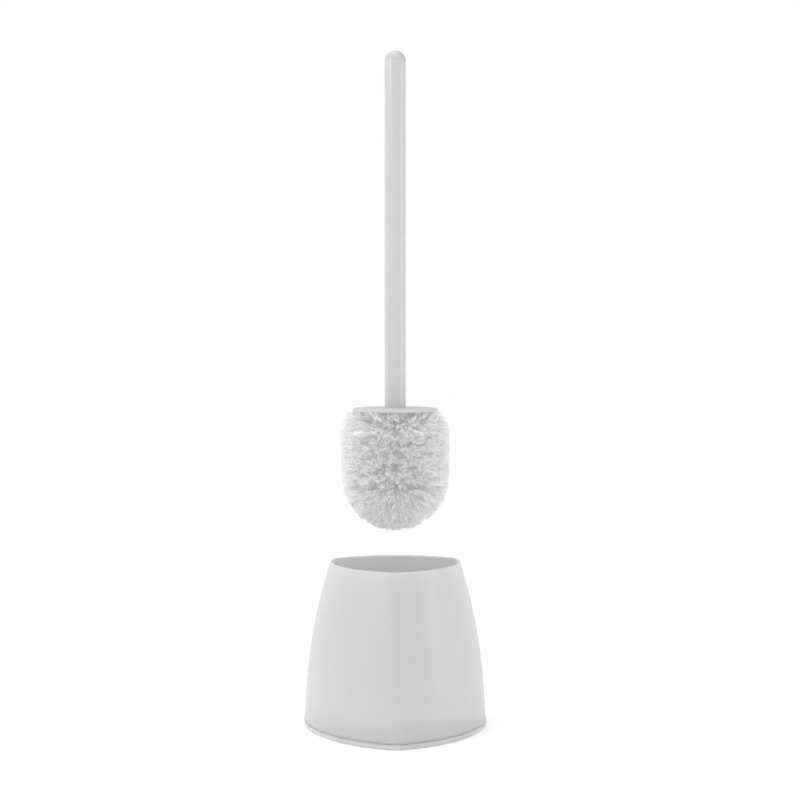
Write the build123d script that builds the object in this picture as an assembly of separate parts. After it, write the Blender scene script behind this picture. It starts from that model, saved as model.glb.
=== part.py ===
"""Toilet brush holder: a tapered pot on a snap-in tray, and the brush that stands in it.

Millimetres, +Z up. The pot has three bulged sides and three soft corner creases. One side faces +Y
and the crease between the other two faces -Y. The origin is the middle of the foot's outline, on the
surface that the pot stands on, so the common axis of pot and brush stands a little behind it, at
y = axis_y. Everything is drawn round that axis and moved there at the end.
The brush hangs above the pot on the axis, lifted clear of it, and slides straight down into it.
"""
import os
from math import atan, cos, pi, radians, sin, sqrt

from build123d import *

# ---- driving dimensions ----------------------------------------------------------------------
# pot
POT_SIDES = 3
POT_HEIGHT = 131.7          # foot to rim
FOOT_REACH = 80.7           # axis to where two sides would meet in a sharp corner, at the foot
CREASE_ARC_RADIUS = 390.0   # each corner rises as an arc of this radius, upright at the foot
SIDE_BULGE = 0.20           # how far a side bows out, as a share of its chord
CORNER_RADIUS = 14.0        # softness of the corner crease, seen from above
POT_WALL = 2.4
LIP_ROUND = 1.05            # rounding of both edges of the rim
POT_SECTIONS = 8            # plan sections that the pot is lofted through

# tray that closes the pot from below
BEAD_HEIGHT = 4.0           # foot bead that the pot stands on; also the top of the tray's floor
BEAD_PROUD = 0.8            # how far the bead stands out past the pot
BEAD_TOP_ROUND = 0.7
BEAD_BOTTOM_ROUND = 1.6
BEAD_LAND = 5.0             # width of the ring that rests on the surface
FLOOR_THICKNESS = 2.2
SKIRT_HEIGHT = 13.0         # upstand that plugs into the pot and keeps drips in
SKIRT_WALL = 1.6
SKIRT_GAP = 0.1             # moulding clearance to the pot's inner wall
SNAP_WIDTH = 18.0
SNAP_HEIGHT = 2.0
SNAP_BITE = 0.6             # how far each snap nib reaches into the pot's wall
SNAP_RISE = 6.0             # nib above the tray's floor

# brush
BRUSH_LENGTH = 380.0
LIFTED_HEIGHT = 156.4       # lowest bristle tip above the surface, brush lifted clear
HANDLE_DIAMETER = 16.9
HANDLE_WALL = 1.9
COLLAR_DIAMETER = 67.7
COLLAR_EDGE_HEIGHT = 2.2
COLLAR_CROWN = 0.5          # rise of the collar's top from its edge to the handle
COLLAR_TOP_ROUND = 1.1
COLLAR_BOTTOM_ROUND = 0.4
COLLAR_BOTTOM_OVER_TIP = 96.4
SPIGOT_DIAMETER = 13.0      # handle's reduced lower end: through the collar and into the core
SPIGOT_LENGTH = 41.0
SPIGOT_FIT = 0.02           # radial gap of the press fit
CORE_DIAMETER = 30.0

# bristles: tufts in drilled holes, each held by a flat wire anchor
HEAD_RADIUS = 43.7          # trimmed radius of the bristle head
HEAD_DOME_DEPTH = 44.5      # height of its rounded lower end
RING_PITCH = 9.1
STRAIGHT_RINGS = 4          # rings that stand square to the core
TUFTS_PER_RING = 14
TOP_RING_TILT = 10.0        # the ring under the collar leans up by this many degrees
TOP_RING_LENGTH = 26.0
DOME_RINGS = [(22.0, 14), (44.0, 11), (66.0, 6), (90.0, 1)]   # degrees below level, tufts
FRONT_CREASE = -90.0        # direction of the crease that the rings are set out from
HOLE_RADIUS = 1.6
HOLE_DEPTH = 5.5
STEM_OUT = 0.7              # a tuft leaves the core this far before it flares
TUFT_TIP_RADIUS = 6.2
ANCHOR_WIDTH = 3.6
ANCHOR_THICKNESS = 0.4
ANCHOR_HEIGHT = 2.0
ANCHOR_LIFT = 0.8           # anchor above the bottom of its hole

# ---- derived sizes ---------------------------------------------------------------------------
handle_radius = HANDLE_DIAMETER / 2
spigot_radius = SPIGOT_DIAMETER / 2
core_radius = CORE_DIAMETER / 2
collar_radius = COLLAR_DIAMETER / 2
collar_bottom = LIFTED_HEIGHT + COLLAR_BOTTOM_OVER_TIP
collar_top = collar_bottom + COLLAR_EDGE_HEIGHT + COLLAR_CROWN
spigot_bottom = collar_top - SPIGOT_LENGTH
handle_top = LIFTED_HEIGHT + BRUSH_LENGTH
dome_centre = LIFTED_HEIGHT + HEAD_DOME_DEPTH     # centre of the head's and the core's round ends
CUT_MARGIN = 1.0            # how far a cutting body runs past the face it opens
UPWARDS = (Align.CENTER, Align.CENTER, Align.MIN)   # a rod or box that stands on its origin


# ---- pot plan and loft -----------------------------------------------------------------------
corner_angle = pi / POT_SIDES                     # from the middle of a side to the corner beside it
half_turn = 2 * atan(2 * SIDE_BULGE)              # half of the angle that a side's arc turns through


def corner_reach(z):
    """Distance from the axis to the sharp corner at height z, before it is softened."""
    return FOOT_REACH - CREASE_ARC_RADIUS + sqrt(CREASE_ARC_RADIUS**2 - z**2)


def side_reach(z):
    """Distance from the axis to the middle of a side at height z."""
    return corner_reach(z) * (cos(corner_angle) + 2 * SIDE_BULGE * sin(corner_angle))


def side_arc_centre(z):
    """Place of a side's arc centre along the side's own direction; negative is behind the axis."""
    return side_reach(z) - corner_reach(z) * sin(corner_angle) / sin(half_turn)


def crease_centre(z):
    """Distance from the axis to the centre of the arc that softens a corner."""
    centre = side_arc_centre(z)
    between = side_reach(z) - centre - CORNER_RADIUS
    return centre * cos(corner_angle) + sqrt(between**2 - (centre * sin(corner_angle)) ** 2)


def crease_reach(z):
    """Distance from the axis to the softened corner crease at height z."""
    return crease_centre(z) + CORNER_RADIUS


def side_turns():
    """Rotations that carry +X to the direction of each side; the first side faces +Y."""
    return [Rotation(0, 0, 90 + 360 / POT_SIDES * i) for i in range(POT_SIDES)]


def pot_plan(z, inset=0.0):
    """Bulged triangle at height z, moved inwards by inset, as a face."""
    side_centre, corner = side_arc_centre(z), crease_centre(z)
    corner_x, corner_y = corner * cos(corner_angle), corner * sin(corner_angle)
    side_radius = side_reach(z) - side_centre - inset
    stretch = side_radius / (side_radius + inset - CORNER_RADIUS)
    join = (side_centre + (corner_x - side_centre) * stretch, corner_y * stretch)
    crease = crease_reach(z) - inset
    soft_mid = (crease * cos(corner_angle), crease * sin(corner_angle))
    next_join = Vector(join[0], -join[1], 0).rotate(Axis.Z, 360 / POT_SIDES)
    side = ThreePointArc((join[0], -join[1]), (side_reach(z) - inset, 0), join)
    soft_corner = ThreePointArc(join, soft_mid, (next_join.X, next_join.Y))
    outline = [turn * arc for turn in side_turns() for arc in (side, soft_corner)]
    return make_face(outline).face().moved(Location((0, 0, z)))


def pot_loft(z_low, z_high, inset=0.0):
    """Solid with the pot's outer shape moved inwards by inset, between two heights."""
    step = (z_high - z_low) / (POT_SECTIONS - 1)
    return loft([pot_plan(z_low + step * i, inset) for i in range(POT_SECTIONS)])


def snap_nibs(grow=0.0):
    """Bars, one at the middle of each side, that bridge the tray's skirt and the pot's wall."""
    z_mid = BEAD_HEIGHT + SNAP_RISE
    depth = SNAP_BITE + SKIRT_GAP + SKIRT_WALL / 2 + grow
    outer_end = side_reach(z_mid) - POT_WALL + SNAP_BITE + grow
    nib = Box(depth, SNAP_WIDTH + 2 * grow, SNAP_HEIGHT + 2 * grow)
    nib = nib.moved(Location((outer_end - depth / 2, 0, z_mid)))
    return [nib.moved(turn) for turn in side_turns()]


def pot_shell():
    """Pot moulding, open at top and bottom, with a rounded rim and pockets for the tray's nibs."""
    outer = pot_loft(BEAD_HEIGHT, POT_HEIGHT)
    inner = pot_loft(BEAD_HEIGHT - CUT_MARGIN, POT_HEIGHT + CUT_MARGIN, POT_WALL)
    shell = outer - inner
    rim = shell.edges().filter_by_position(Axis.Z, POT_HEIGHT - 0.01, POT_HEIGHT + 0.01)
    shell = fillet(rim, LIP_ROUND)
    return shell - snap_nibs(grow=SKIRT_GAP)


def base_tray():
    """Tray that closes the pot: rounded foot bead, raised floor, upstand and snap nibs."""
    bead = extrude(pot_plan(0, -BEAD_PROUD), BEAD_HEIGHT)
    bead = fillet(bead.edges().group_by(Axis.Z)[-1], BEAD_TOP_ROUND)
    bead = fillet(bead.edges().group_by(Axis.Z)[0], BEAD_BOTTOM_ROUND)
    recess = extrude(pot_plan(0, BEAD_LAND), BEAD_HEIGHT - FLOOR_THICKNESS)
    skirt_top = BEAD_HEIGHT + SKIRT_HEIGHT
    outside = POT_WALL + SKIRT_GAP
    skirt = pot_loft(BEAD_HEIGHT, skirt_top, outside)
    skirt -= pot_loft(BEAD_HEIGHT, skirt_top + CUT_MARGIN, outside + SKIRT_WALL)
    return bead - recess + skirt + snap_nibs()


# ---- brush body ------------------------------------------------------------------------------
def round_topped_rod(radius, z_low, z_high):
    """Rod on the Z axis from z_low to z_high, with a hemisphere at its top."""
    rod = Cylinder(radius, z_high - radius - z_low, align=UPWARDS)
    return rod.moved(Location((0, 0, z_low))) + Sphere(radius).moved(Location((0, 0, z_high - radius)))


def handle():
    """Hollow handle with a domed top; its lower end steps in to a spigot, open at the bottom."""
    grip = round_topped_rod(handle_radius, collar_top, handle_top)
    spigot = Cylinder(spigot_radius, SPIGOT_LENGTH, align=UPWARDS).moved(Location((0, 0, spigot_bottom)))
    bore_low, bore_high = collar_top + HANDLE_WALL, handle_top - HANDLE_WALL
    grip_bore = round_topped_rod(handle_radius - HANDLE_WALL, bore_low, bore_high)
    spigot_bore = Cylinder(spigot_radius - HANDLE_WALL, SPIGOT_LENGTH + 2 * HANDLE_WALL, align=UPWARDS)
    return grip + spigot - grip_bore - spigot_bore.moved(Location((0, 0, spigot_bottom)))


def rim_edges(disc):
    """The disc's circles of full collar radius, lowest first."""
    circles = disc.edges().filter_by(GeomType.CIRCLE).sort_by(Axis.Z)
    return circles.filter_by(lambda edge: edge.radius > collar_radius - 0.1)


def splash_collar():
    """Thin disc with a slightly coned top and rounded edge, threaded on the handle's spigot."""
    edge_top = collar_bottom + COLLAR_EDGE_HEIGHT
    hole = spigot_radius + SPIGOT_FIT
    profile = Polyline(
        (hole, collar_bottom), (collar_radius, collar_bottom), (collar_radius, edge_top),
        (handle_radius, collar_top), (hole, collar_top), close=True)
    disc = revolve(make_face(Plane.XZ * profile), Axis.Z)
    disc = fillet(rim_edges(disc)[-1], COLLAR_TOP_ROUND)
    return fillet(rim_edges(disc)[0], COLLAR_BOTTOM_ROUND)


# ---- bristles --------------------------------------------------------------------------------
def head_reach(angle):
    """Distance from the dome's centre to the trimmed bristle tips, angle degrees below level."""
    a = radians(angle)
    return 1 / sqrt((cos(a) / HEAD_RADIUS) ** 2 + (sin(a) / HEAD_DOME_DEPTH) ** 2)


def tuft_rings():
    """Each ring of tufts, top first: (height on the axis, degrees below level, tufts, reach)."""
    top = dome_centre + RING_PITCH * STRAIGHT_RINGS
    rings = [(top, -TOP_RING_TILT, TUFTS_PER_RING, core_radius + TOP_RING_LENGTH)]
    for i in range(STRAIGHT_RINGS):
        rings.append((top - RING_PITCH * (i + 1), 0.0, TUFTS_PER_RING, HEAD_RADIUS))
    for angle, count in DOME_RINGS:
        rings.append((dome_centre, angle, count, head_reach(angle)))
    return rings


def ring_places(index, ring):
    """Locations whose +X runs out of the core along each tuft; every other ring is half a step round."""
    height, angle, count, _ = ring
    step = 360 / count
    first = FRONT_CREASE + step / 2 * ((index + 1) % 2)
    return [Location((0, 0, height)) * Rotation(0, 0, first + step * i) * Rotation(0, angle, 0)
            for i in range(count)]


def along_x(radius, x_low, x_high):
    """Cylinder on the X axis between two places."""
    return Location((x_low, 0, 0)) * Rotation(0, 90, 0) * Cylinder(radius, x_high - x_low, align=UPWARDS)


def anchor():
    """Flat wire anchor across a hole; it bites into the core above and below the hole."""
    middle = core_radius - HOLE_DEPTH + ANCHOR_LIFT + ANCHOR_HEIGHT / 2
    return Box(ANCHOR_HEIGHT, ANCHOR_THICKNESS, ANCHOR_WIDTH).moved(Location((middle, 0, 0)))


def tuft(reach):
    """One tuft along +X: a round stem that fills its hole, then a flare to a trimmed, rounded tip."""
    foot = core_radius - HOLE_DEPTH
    shoulder = sqrt(reach**2 - TUFT_TIP_RADIUS**2)
    outline = Polyline((shoulder, TUFT_TIP_RADIUS), (core_radius + STEM_OUT, HOLE_RADIUS),
                       (foot, HOLE_RADIUS), (foot, 0), (reach, 0))
    half_angle = atan(TUFT_TIP_RADIUS / shoulder) / 2
    tip = ThreePointArc((reach, 0), (reach * cos(half_angle), reach * sin(half_angle)),
                        (shoulder, TUFT_TIP_RADIUS))
    return revolve(make_face([outline, tip]), Axis.X) - anchor()


def head_core():
    """Round-ended core, bored for the handle's spigot, drilled for every tuft, slotted for every anchor."""
    core = Cylinder(core_radius, collar_bottom - dome_centre, align=UPWARDS) + Sphere(core_radius)
    core = core.moved(Location((0, 0, dome_centre)))
    socket = Cylinder(spigot_radius + SPIGOT_FIT, SPIGOT_LENGTH, align=UPWARDS)
    drill = along_x(HOLE_RADIUS, core_radius - HOLE_DEPTH, core_radius + CUT_MARGIN) + anchor()
    places = [place for i, ring in enumerate(tuft_rings()) for place in ring_places(i, ring)]
    return core - socket.moved(Location((0, 0, spigot_bottom))) - [drill.moved(place) for place in places]


# ---- write every node ------------------------------------------------------------------------
axis_y = (crease_reach(0) - side_reach(0)) / 2      # puts the middle of the foot's outline at y = 0


def build_nodes():
    """Every node, drawn round the common axis and then moved back with it."""
    on_axis = Location((0, axis_y, 0))
    solids = {"pot_shell": [pot_shell()], "base_tray": [base_tray()], "handle": [handle()],
              "splash_collar": [splash_collar()], "head_core": [head_core()]}
    anchors = []
    for i, ring in enumerate(tuft_rings()):
        places = ring_places(i, ring)
        one = tuft(ring[3]).solid()
        solids[f"tuft_ring_{i + 1}"] = [one.moved(place) for place in places]
        anchors += [anchor().solid().moved(place) for place in places]
    solids["tuft_anchors"] = anchors
    return {name: Compound(children=[solid.moved(on_axis) for solid in group])
            for name, group in solids.items()}


if __name__ == "__main__":
    os.makedirs("parts", exist_ok=True)
    for name, shape in build_nodes().items():
        export_step(shape, f"parts/{name}.step")
        print(name, round(shape.volume, 1))
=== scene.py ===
"""Looks of a white plastic toilet brush lifted out of its tapered pot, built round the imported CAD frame."""
import math

import bpy
import numpy as np
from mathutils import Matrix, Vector


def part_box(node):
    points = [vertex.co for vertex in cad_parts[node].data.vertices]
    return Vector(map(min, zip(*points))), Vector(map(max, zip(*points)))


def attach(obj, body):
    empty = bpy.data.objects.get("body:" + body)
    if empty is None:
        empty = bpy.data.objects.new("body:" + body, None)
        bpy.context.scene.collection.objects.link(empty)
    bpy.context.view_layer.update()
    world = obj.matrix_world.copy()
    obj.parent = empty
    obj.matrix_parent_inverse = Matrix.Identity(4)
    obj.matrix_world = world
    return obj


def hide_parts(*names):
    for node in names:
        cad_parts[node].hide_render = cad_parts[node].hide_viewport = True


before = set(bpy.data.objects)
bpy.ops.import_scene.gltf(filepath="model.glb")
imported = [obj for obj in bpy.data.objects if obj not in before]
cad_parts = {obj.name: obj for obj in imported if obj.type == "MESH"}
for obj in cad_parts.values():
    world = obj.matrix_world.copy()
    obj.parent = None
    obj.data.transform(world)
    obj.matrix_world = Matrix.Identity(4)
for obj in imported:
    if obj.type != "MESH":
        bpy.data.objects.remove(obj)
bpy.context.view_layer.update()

# ---- places taken from the frame, in metres --------------------------------------------------
handle_low, handle_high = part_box("handle")
AXIS_Y = (handle_low.y + handle_high.y) / 2
core_low, core_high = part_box("head_core")
CORE_RADIUS = (core_high.x - core_low.x) / 2
DOME_CENTRE = core_low.z + CORE_RADIUS
HEAD_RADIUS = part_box("tuft_ring_3")[1].x
HEAD_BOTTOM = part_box("tuft_ring_9")[0].z
COLLAR_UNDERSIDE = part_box("splash_collar")[0].z

# ---- camera ----------------------------------------------------------------------------------
FRONT_CREASE = math.radians(-90)    # direction of the pot's corner crease that faces the camera
CAMERA_TURN = math.radians(0.63)    # the camera stands a little to the left of that crease
CAMERA_DISTANCE = 1.406             # from the common axis of pot and brush
CAMERA_HEIGHT = 0.3248
CAMERA_PITCH = math.radians(2.58)   # looking down
CAMERA_LENS = 79.8
SENSOR = 36.0
CAMERA_SHIFT = (0.0059, 0.0)

# ---- light -----------------------------------------------------------------------------------
SKY_HORIZON = 1.0                   # white all round, low down
SKY_LEFT, SKY_RIGHT = 0.55, 0.10    # at middling heights
SKY_TOP = 1.8
SKY_SIDES = (-0.5, 0.5)             # directions between which left fades to right
SKY_RISE = (0.18, 0.32)             # heights between which the horizon fades to the sides
SKY_CROWN = (0.70, 0.86)            # heights between which the sides fade to the top
LAMPS = [                           # name, place (right, toward, up), height aimed at, size, power
    ("key", (-1.25, 0.75, 1.0), 0.20, (0.5, 0.6), 3.8),
    ("strip", (1.3, 0.3, 0.5), 0.25, (0.09, 1.2), 3.2),
]
FLOOR_HALF = 6.0
FLOOR_WHITE = 0.97
FLOOR_GLOW = 0.12                   # stands for light that white walls would send back to the floor
WHITE = (1, 1, 1, 1)

# ---- plastic ---------------------------------------------------------------------------------
PLASTICS = [                        # material, its nodes, grey, roughness, gloss, cloudiness
    ("pot_plastic", ("pot_shell", "base_tray"), 0.695, 0.36, 0.5, 0.72),
    ("handle_plastic", ("handle",), 0.62, 0.20, 0.8, 0.08),
    ("collar_plastic", ("splash_collar",), 0.64, 0.50, 0.3, 0.08),
    # the core is the same plastic as the handle and collar; its whiter grey is painted light against the
    # shade under the collar and among the bristles
    ("core_plastic", ("head_core",), 0.93, 0.40, 0.3, 0.2),
]
PLASTIC_IOR = 1.49
LIGHT_REACH = 0.015                 # how far light travels inside cloudy plastic
TINT_NOISE, TINT_SPREAD = (22, 3), 0.015         # noise is (scale, detail)
GLOSS_NOISE, GLOSS_SPREAD = (160, 4), 0.015
WAVE_NOISE, WAVE_STRENGTH, WAVE_DEPTH = (28, 1), 0.08, 0.0002
GRAIN_NOISE, GRAIN_STRENGTH, GRAIN_DEPTH = (2600, 2), 0.12, 0.00003

# ---- bristles --------------------------------------------------------------------------------
SEED = 7
STRAIGHT_RINGS = 4                  # rings that stand square to the core, below the tilted top ring
TUFTS_PER_RING = 14
TOP_RING_TILT = 12.0                # the ring under the collar leans up by this many degrees
DOME_RINGS = [(22.0, 14), (44.0, 11), (66.0, 6), (90.0, 1)]   # degrees below level, tufts
HAIRS_PER_TUFT = 150
HAIR_RADIUS = 0.00021
HAIR_RADIUS_SPREAD = (0.85, 1.12)
HAIR_TAPER = 0.82                   # tip radius as a share of the root's
HAIR_SIDES = 3
HAIR_STEPS = 8
HOLE_RADIUS = 0.0015                # a tuft's hairs start inside a circle of this radius
HAIR_ROOT = 0.0012                  # and this far below the core's surface
FLARE = 0.5                         # power of the share along a hair: below 1 it bends out early
SPLAY = 0.0112                      # how far a tuft's outer hairs have splayed sideways at their tips
FAN = 0.0080                        # and how far up and down
TOP_FAN = 0.0140
DOME_FAN = 0.0090
LOCKS = 40                          # a tuft's hairs cling together in this many locks
LOCK_SPREAD = 0.0007
LENGTH_SPREAD = 0.03
CRIMP_WAVES, CRIMP, DOME_CRIMP = 4.6, 0.00048, 0.00028   # waves along a hair, and their size
WANDER_WAVES, WANDER = 1.3, 0.0009
SWING_SPREAD = (0.5, 1.3)           # least and most share of that size
TIP_PAINTED_LIGHT, OWN_WHITENESS = 0.7, 0.3   # shares of a hair's tint from painted light that grows towards its tip, leaving painted shade at the root, and from chance
FILAMENT_DARK = (0.80, 0.80, 0.795, 1)
FILAMENT_LIGHT = (0.99, 0.99, 0.99, 1)
FILAMENT_GLOW = 0.088               # stands for the light that thin filaments let through
DOME_TRIM = 0.0008                  # the drawn head ends this far above the CAD head's lowest point
TOP_SLANT = 0.006                   # the trimmed head narrows by this much below the collar
TOP_SLANT_HEIGHT = 0.012
TOP_GAP = 0.0006                    # no hair is trimmed nearer to the collar than this
TINY = 1e-6                         # keeps divisions finite

toward = Vector((math.cos(FRONT_CREASE - CAMERA_TURN), math.sin(FRONT_CREASE - CAMERA_TURN), 0))
right = Vector((-toward.y, toward.x, 0))
up = Vector((0, 0, 1))
axis_foot = Vector((0, AXIS_Y, 0))


def add_object(name, data):
    thing = bpy.data.objects.new(name, data)
    bpy.context.scene.collection.objects.link(thing)
    return thing


def camera():
    data = bpy.data.cameras.new("camera")
    data.lens, data.sensor_width = CAMERA_LENS, SENSOR
    data.shift_x, data.shift_y = CAMERA_SHIFT
    cam = add_object("camera", data)
    cam.location = axis_foot + toward * CAMERA_DISTANCE + up * CAMERA_HEIGHT
    aim = -toward * math.cos(CAMERA_PITCH) - up * math.sin(CAMERA_PITCH)
    cam.rotation_euler = aim.to_track_quat("-Z", "Y").to_euler()
    bpy.context.scene.camera = cam


def softbox(name, place, target, size, power):
    """Rectangular lamp at place (right, toward, up), aimed at a height on the axis."""
    data = bpy.data.lights.new(name, "AREA")
    data.shape, data.size, data.size_y, data.energy = "RECTANGLE", size[0], size[1], power
    lamp = add_object(name, data)
    lamp.location = axis_foot + right * place[0] + toward * place[1] + up * place[2]
    aim = axis_foot + up * target - lamp.location
    lamp.rotation_euler = aim.to_track_quat("-Z", "Y").to_euler()


def studio():
    """White horizon all round; above it a sky that dims from left to right; and the lamps."""
    world = bpy.data.worlds.new("studio")
    bpy.context.scene.world = world
    world.use_nodes = True
    nt = world.node_tree
    way = nt.nodes.new("ShaderNodeSeparateXYZ")
    nt.links.new(nt.nodes.new("ShaderNodeTexCoord").outputs["Generated"], way.inputs["Vector"])

    def fade(value, limits, low, high):
        node = nt.nodes.new("ShaderNodeMapRange")
        node.interpolation_type = "SMOOTHSTEP"
        nt.links.new(value, node.inputs["Value"])
        node.inputs["From Min"].default_value, node.inputs["From Max"].default_value = limits
        for name, end in (("To Min", low), ("To Max", high)):
            if isinstance(end, float):
                node.inputs[name].default_value = end
            else:
                nt.links.new(end, node.inputs[name])
        return node.outputs["Result"]

    middle = fade(way.outputs["X"], SKY_SIDES, SKY_LEFT, SKY_RIGHT)
    middle = fade(way.outputs["Z"], SKY_RISE, SKY_HORIZON, middle)
    whole = fade(way.outputs["Z"], SKY_CROWN, middle, SKY_TOP)
    nt.links.new(whole, nt.nodes["Background"].inputs["Strength"])
    nt.nodes["Background"].inputs["Color"].default_value = WHITE
    for lamp in LAMPS:
        softbox(*lamp)
    bpy.context.scene.view_settings.view_transform = "Standard"


def floor():
    half = FLOOR_HALF
    corners = [(-half, -half, 0), (half, -half, 0), (half, half, 0), (-half, half, 0)]
    mesh = bpy.data.meshes.new("floor")
    mesh.from_pydata(corners, [], [(0, 1, 2, 3)])
    piece = add_object("floor", mesh)
    mat = bpy.data.materials.new("floor_paper")
    mat.use_nodes = True
    shader = mat.node_tree.nodes["Principled BSDF"]
    shader.inputs["Base Color"].default_value = (FLOOR_WHITE, FLOOR_WHITE, FLOOR_WHITE, 1)
    shader.inputs["Roughness"].default_value = 1.0
    shader.inputs["Specular IOR Level"].default_value = 0.0
    shader.inputs["Emission Color"].default_value = WHITE
    shader.inputs["Emission Strength"].default_value = FLOOR_GLOW
    mesh.materials.append(mat)


# ---- materials -------------------------------------------------------------------------------
def moulded_plastic(name, grey, roughness, gloss, cloudiness):
    """Satin moulded plastic that lets some light through: uneven gloss, fine grain, slight waves."""
    mat = bpy.data.materials.new(name)
    mat.use_nodes = True
    nt = mat.node_tree
    shader = nt.nodes["Principled BSDF"]
    place = nt.nodes.new("ShaderNodeTexCoord").outputs["Object"]

    def noise(scale, detail):
        node = nt.nodes.new("ShaderNodeTexNoise")
        node.inputs["Scale"].default_value = scale
        node.inputs["Detail"].default_value = detail
        nt.links.new(place, node.inputs["Vector"])
        return node.outputs["Fac"]

    def spread(value, middle, reach):
        node = nt.nodes.new("ShaderNodeMapRange")
        node.inputs["To Min"].default_value = middle - reach
        node.inputs["To Max"].default_value = middle + reach
        nt.links.new(value, node.inputs["Value"])
        return node.outputs["Result"]

    def bump(height, strength, depth):
        node = nt.nodes.new("ShaderNodeBump")
        node.inputs["Strength"].default_value = strength
        node.inputs["Distance"].default_value = depth
        nt.links.new(height, node.inputs["Height"])
        return node

    tint = nt.nodes.new("ShaderNodeVectorMath")
    tint.operation = "SCALE"
    tint.inputs[0].default_value = (grey, grey, grey)
    nt.links.new(spread(noise(*TINT_NOISE), 1, TINT_SPREAD), tint.inputs["Scale"])
    nt.links.new(tint.outputs["Vector"], shader.inputs["Base Color"])
    nt.links.new(spread(noise(*GLOSS_NOISE), roughness, GLOSS_SPREAD), shader.inputs["Roughness"])
    grain = bump(noise(*GRAIN_NOISE), GRAIN_STRENGTH, GRAIN_DEPTH)
    waves = bump(noise(*WAVE_NOISE), WAVE_STRENGTH, WAVE_DEPTH)
    nt.links.new(waves.outputs["Normal"], grain.inputs["Normal"])
    nt.links.new(grain.outputs["Normal"], shader.inputs["Normal"])
    shader.inputs["IOR"].default_value = PLASTIC_IOR
    shader.inputs["Specular IOR Level"].default_value = gloss
    shader.inputs["Subsurface Weight"].default_value = cloudiness
    shader.inputs["Subsurface Radius"].default_value = (1, 1, 1)
    shader.inputs["Subsurface Scale"].default_value = LIGHT_REACH
    return mat


def filament_plastic():
    """White monofilament with painted light: lighter towards the tips with painted shade at the roots, a glow
    that stands for light let through, and some hairs whiter than others.
    """
    mat = bpy.data.materials.new("white_filament")
    mat.use_nodes = True
    nt = mat.node_tree
    shader = nt.nodes["Principled BSDF"]
    hair = nt.nodes.new("ShaderNodeAttribute")
    hair.attribute_name = "hair_shade_and_tint"
    ramp = nt.nodes.new("ShaderNodeValToRGB")
    ramp.color_ramp.elements[0].color = FILAMENT_DARK
    ramp.color_ramp.elements[1].color = FILAMENT_LIGHT
    nt.links.new(hair.outputs["Fac"], ramp.inputs["Fac"])
    nt.links.new(ramp.outputs["Color"], shader.inputs["Base Color"])
    shader.inputs["Roughness"].default_value = 0.5
    shader.inputs["Emission Color"].default_value = WHITE
    shader.inputs["Emission Strength"].default_value = FILAMENT_GLOW
    return mat


def drawn_wire():
    mat = bpy.data.materials.new("anchor_wire")
    mat.use_nodes = True
    shader = mat.node_tree.nodes["Principled BSDF"]
    shader.inputs["Base Color"].default_value = (0.62, 0.62, 0.61, 1)
    shader.inputs["Metallic"].default_value = 1.0
    shader.inputs["Roughness"].default_value = 0.3
    return mat


def dress(node, mat):
    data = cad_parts[node].data
    data.materials.clear()
    data.materials.append(mat)


# ---- bristles --------------------------------------------------------------------------------
def tuft_rings():
    """Each ring of tufts, top first: (node, height on the axis, degrees below level, tufts, fan)."""
    rings = []
    for i in range(STRAIGHT_RINGS + 1):
        low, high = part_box(f"tuft_ring_{i + 1}")
        height = (low.z + high.z) / 2
        rings.append([f"tuft_ring_{i + 1}", height, 0.0, TUFTS_PER_RING, FAN])
    pitch = rings[1][1] - rings[2][1]
    rings[0][1:] = [rings[1][1] + pitch, -TOP_RING_TILT, TUFTS_PER_RING, TOP_FAN]
    for angle, count in DOME_RINGS:
        rings.append([f"tuft_ring_{len(rings) + 1}", DOME_CENTRE, angle, count, DOME_FAN])
    return rings


def reach_along(start, direction):
    """How far from each start on the axis a hair reaches the trimmed surface of the head."""
    side = np.hypot(direction[:, 0], direction[:, 1])
    to_side = HEAD_RADIUS / np.maximum(side, TINY)
    # round lower end: an ellipsoid about the dome's centre
    dome = [HEAD_RADIUS, HEAD_RADIUS, DOME_CENTRE - HEAD_BOTTOM - DOME_TRIM]
    p = (start - [0, 0, DOME_CENTRE]) / dome
    d = direction / dome
    a, b, c = (d * d).sum(1), (p * d).sum(1), (p * p).sum(1) - 1
    to_dome = (-b + np.sqrt(np.maximum(b * b - a * c, 0))) / a
    below = start[:, 2] + direction[:, 2] * to_side < DOME_CENTRE
    reach = np.where(below, to_dome, to_side)
    # slant under the collar
    slope = TOP_SLANT / TOP_SLANT_HEIGHT
    knee = COLLAR_UNDERSIDE - TOP_SLANT_HEIGHT
    over = HEAD_RADIUS + slope * (knee - start[:, 2])
    to_slant = over / np.maximum(side + slope * direction[:, 2], TINY)
    reach = np.minimum(reach, np.where(to_slant > 0, to_slant, reach))
    to_top = (COLLAR_UNDERSIDE - TOP_GAP - start[:, 2]) / np.maximum(direction[:, 2], TINY)
    return np.minimum(reach, np.where(direction[:, 2] > 0, to_top, reach))


def disc_points(rng, count):
    """Random points spread evenly over a disc of radius 1."""
    r, t = np.sqrt(rng.random(count)), rng.random(count) * 2 * math.pi
    return np.stack([r * np.cos(t), r * np.sin(t)], 1)


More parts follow.
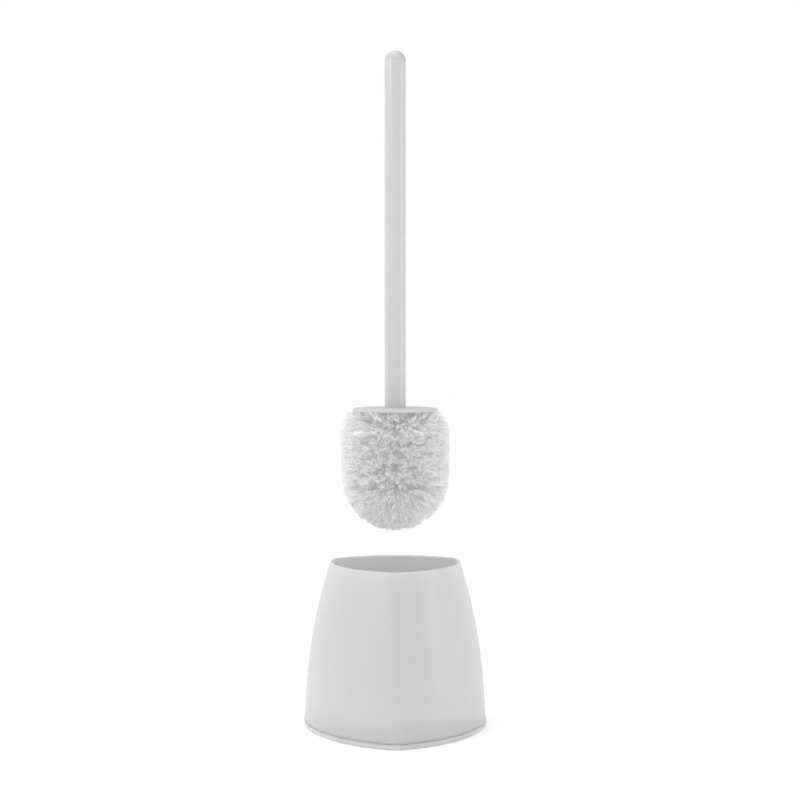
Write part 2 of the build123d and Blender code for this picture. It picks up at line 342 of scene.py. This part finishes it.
def tuft_hairs(rng, height, angle, fan, turn):
    """Centre lines of one tuft's hairs: array (hairs, steps, 3)."""
    n = HAIRS_PER_TUFT
    lean = math.radians(angle)
    flat = math.cos(lean)
    out = np.array([flat * math.cos(turn), flat * math.sin(turn), -math.sin(lean)])
    across = np.array([-math.sin(turn), math.cos(turn), 0.0])
    over = np.cross(out, across)
    origin = np.array([0, 0, height])
    # place in the hole, and how far that hair has splayed at its tip
    spot = disc_points(rng, n)
    lock = rng.integers(0, LOCKS, n)
    centres = disc_points(rng, LOCKS)
    tip = centres[lock] * [SPLAY, fan] + rng.normal(0, LOCK_SPREAD, (n, 2))
    direction = out * HEAD_RADIUS + tip[:, :1] * across + tip[:, 1:] * over
    direction /= np.linalg.norm(direction, axis=1, keepdims=True)
    reach = reach_along(np.repeat(origin[None], n, 0), direction)
    reach *= 1 - np.abs(rng.normal(0, LENGTH_SPREAD, n))
    ends = origin + direction * reach[:, None]
    beside = (spot[:, :1] * across + spot[:, 1:] * over) * HOLE_RADIUS
    starts = origin + out * (CORE_RADIUS - HAIR_ROOT) + beside
    s = np.linspace(0, 1, HAIR_STEPS + 1)[None, :, None]
    straight = starts[:, None] + (ends - starts)[:, None] * s
    # leaves the hole along the tuft, then bends outwards
    leave = starts[:, None] + out * (np.linalg.norm(ends - starts, axis=1)[:, None, None] * s)
    flared = s ** FLARE
    line = leave * (1 - flared) + straight * flared
    # crimp and slow wander
    crimp = DOME_CRIMP if fan == DOME_FAN else CRIMP
    for waves, size in ((CRIMP_WAVES, crimp), (WANDER_WAVES, WANDER)):
        phase = rng.random((n, 2, 1)) * 2 * math.pi
        share = rng.uniform(*SWING_SPREAD, (n, 2, 1)) * size
        swing = np.sin(phase + 2 * math.pi * waves * s[..., 0]) * share * np.sin(s[..., 0] * math.pi * 0.5)
        line += swing[:, 0, :, None] * across + swing[:, 1, :, None] * over
    return line


def tubes(name, lines, rng, mat):
    """One mesh of thin closed tubes round centre lines, thinner towards the tips."""
    n, steps, _ = lines.shape
    along = np.gradient(lines, axis=1)
    along /= np.linalg.norm(along, axis=2, keepdims=True)
    helper = np.where(np.abs(along[..., 2:]) > 0.8, [1.0, 0, 0], [0, 0, 1.0])
    u = np.cross(along, helper)
    u /= np.linalg.norm(u, axis=2, keepdims=True)
    v = np.cross(along, u)
    taper = np.linspace(1.0, HAIR_TAPER, steps)[None, :, None]
    radius = HAIR_RADIUS * rng.uniform(*HAIR_RADIUS_SPREAD, (n, 1, 1)) * taper
    rings = []
    for k in range(HAIR_SIDES):
        q = 2 * math.pi * k / HAIR_SIDES
        rings.append(lines + (u * math.cos(q) + v * math.sin(q)) * radius)
    verts = np.stack(rings, 2).reshape(-1, 3)
    # sides, then the two end caps of every tube
    base = (np.arange(n)[:, None, None] * steps + np.arange(steps - 1)[None, :, None]) * HAIR_SIDES
    k = np.arange(HAIR_SIDES)[None, None, :]
    k2 = (k + 1) % HAIR_SIDES
    quads = np.stack([base + k, base + HAIR_SIDES + k, base + HAIR_SIDES + k2, base + k2], -1)
    ends = []
    for first, flip in ((0, 1), (steps - 1, -1)):
        ring = (np.arange(n)[:, None] * steps + first) * HAIR_SIDES + np.arange(HAIR_SIDES)[None, ::flip]
        ends += ring.tolist()
    mesh = bpy.data.meshes.new(name)
    mesh.from_pydata(verts.tolist(), [], quads.reshape(-1, 4).tolist() + ends)
    # painted light along each hair: lighter towards the tip, painted shade at the root inside the head; the
    # random share is each hair's own tone
    along_hair = np.linspace(0, 1, steps)[None, :] ** 2
    painted_light_and_tint = along_hair * TIP_PAINTED_LIGHT + rng.random(n)[:, None] * OWN_WHITENESS
    tint = np.repeat(painted_light_and_tint.reshape(-1), HAIR_SIDES).astype(np.float32)
    mesh.attributes.new("hair_shade_and_tint", "FLOAT", "POINT").data.foreach_set("value", tint)
    mesh.shade_smooth()
    mesh.materials.append(mat)
    return add_object(name, mesh)


def bristles(mat):
    rng = np.random.default_rng(SEED)
    for i, (node, height, angle, count, fan) in enumerate(tuft_rings()):
        step = 2 * math.pi / count
        first = FRONT_CREASE + step / 2 * ((i + 1) % 2)
        lines = [tuft_hairs(rng, height, angle, fan, first + step * k) for k in range(count)]
        piece = tubes(f"bristles_{i + 1}", np.concatenate(lines) + axis_foot, rng, mat)
        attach(piece, "brush")
        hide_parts(node)


camera()
studio()
floor()
for name, nodes, *look in PLASTICS:
    plastic = moulded_plastic(name, *look)
    for node in nodes:
        dress(node, plastic)
dress("tuft_anchors", drawn_wire())
bristles(filament_plastic())
